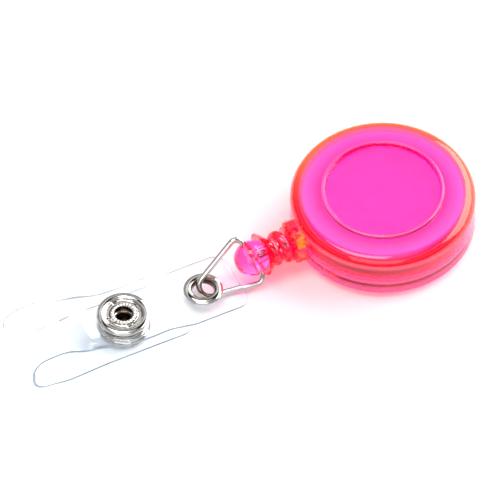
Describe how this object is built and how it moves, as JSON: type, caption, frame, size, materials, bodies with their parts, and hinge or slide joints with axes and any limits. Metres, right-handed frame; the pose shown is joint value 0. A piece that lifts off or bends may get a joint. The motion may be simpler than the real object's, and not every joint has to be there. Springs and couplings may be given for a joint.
{
  "type": "retractable badge reel",
  "caption": "Round translucent cord reel with belt clip, spiral strain relief, ball and wire hook, and a clear strap closed by a snap.",
  "frame": {"origin": "on the reel's axis, in the outer face of the belt clip that the reel lies on", "axes": "+Z out through the front cover; the cord leaves the case along -X; the strap lies along -X"},
  "size_m": [0.0863, 0.032, 0.01],
  "materials": {
    "pink_plastic": "glossy moulded translucent fluorescent pink",
    "white_plastic": "smooth opaque white moulding",
    "spring_steel": "bright spring steel",
    "clip_steel": "nickel-plated strip steel",
    "black_cord": "braided black nylon",
    "nickel_wire": "polished nickel-plated wire",
    "nickel_stamping": "polished nickel-plated stamping",
    "clear_vinyl": "clear flexible vinyl"
  },
  "bodies": {
    "case": {"front_cover": "pink_plastic", "rear_cover": "pink_plastic", "strain_relief": "pink_plastic", "clip_base": "clip_steel", "clip_rivet": "clip_steel"},
    "spool": {"spool": "white_plastic", "spring_retainer": "white_plastic", "mainspring": "spring_steel", "cord_winding": "black_cord", "cord_anchor": "black_cord"},
    "clip_leg": {"clip_leg": "clip_steel"},
    "cord_end": {"cord_lead": "black_cord", "cord_knot": "black_cord"},
    "ball": {"ball": "pink_plastic"},
    "hook": {"wire_hook": "nickel_wire"},
    "strap": {"strap_top": "clear_vinyl", "strap_eyelet": "nickel_stamping", "snap_ring": "nickel_stamping", "snap_stud": "nickel_stamping"},
    "flap": {"strap_flap": "clear_vinyl", "snap_socket": "nickel_stamping", "snap_spring": "spring_steel", "snap_cap": "nickel_stamping"}
  },
  "joints": [
    {"name": "cord_pull", "type": "slide", "parent": "case", "child": "cord_end", "axis": [-1, 0, 0], "range_m": [0, 0.8], "stiffness_N_per_m": 0.9, "springref_m": -0.35, "deforming": ["cord_lead"]},
    {"name": "spool_spin", "type": "hinge", "parent": "case", "child": "spool", "pos_m": [0, 0, 0.0052], "axis": [0, 0, 1], "range_deg": [-5, 3950], "deforming": ["mainspring"]},
    {"name": "fitting_twist", "type": "hinge", "parent": "cord_end", "child": "ball", "pos_m": [-0.0253, 0, 0.0052], "axis": [-1, 0, 0], "continuous": true},
    {"name": "hook_swing", "type": "hinge", "parent": "ball", "child": "hook", "pos_m": [-0.0253, 0, 0.0052], "axis": [0.2647, -0.6146, -0.7431], "range_deg": [-85, 85]},
    {"name": "strap_swing", "type": "hinge", "parent": "hook", "child": "strap", "pos_m": [-0.035, -0.00059, 0.00235], "axis": [0, 0, 1], "range_deg": [-75, 75]},
    {"name": "flap_open", "type": "hinge", "parent": "strap", "child": "flap", "pos_m": [-0.06999, 0.00002, 0.0043], "axis": [0.0175, 0.9998, 0], "range_deg": [0, 115]},
    {"name": "clip_flex", "type": "hinge", "parent": "case", "child": "clip_leg", "pos_m": [0.012, 0, 0.0008], "axis": [0, -1, 0], "range_deg": [0, 10], "stiffness_Nm_per_rad": 0.25}
  ],
  "couplings": [
    {"joint": "spool_spin", "follows": "cord_pull", "rad_per_m": 84.7}
  ]
}
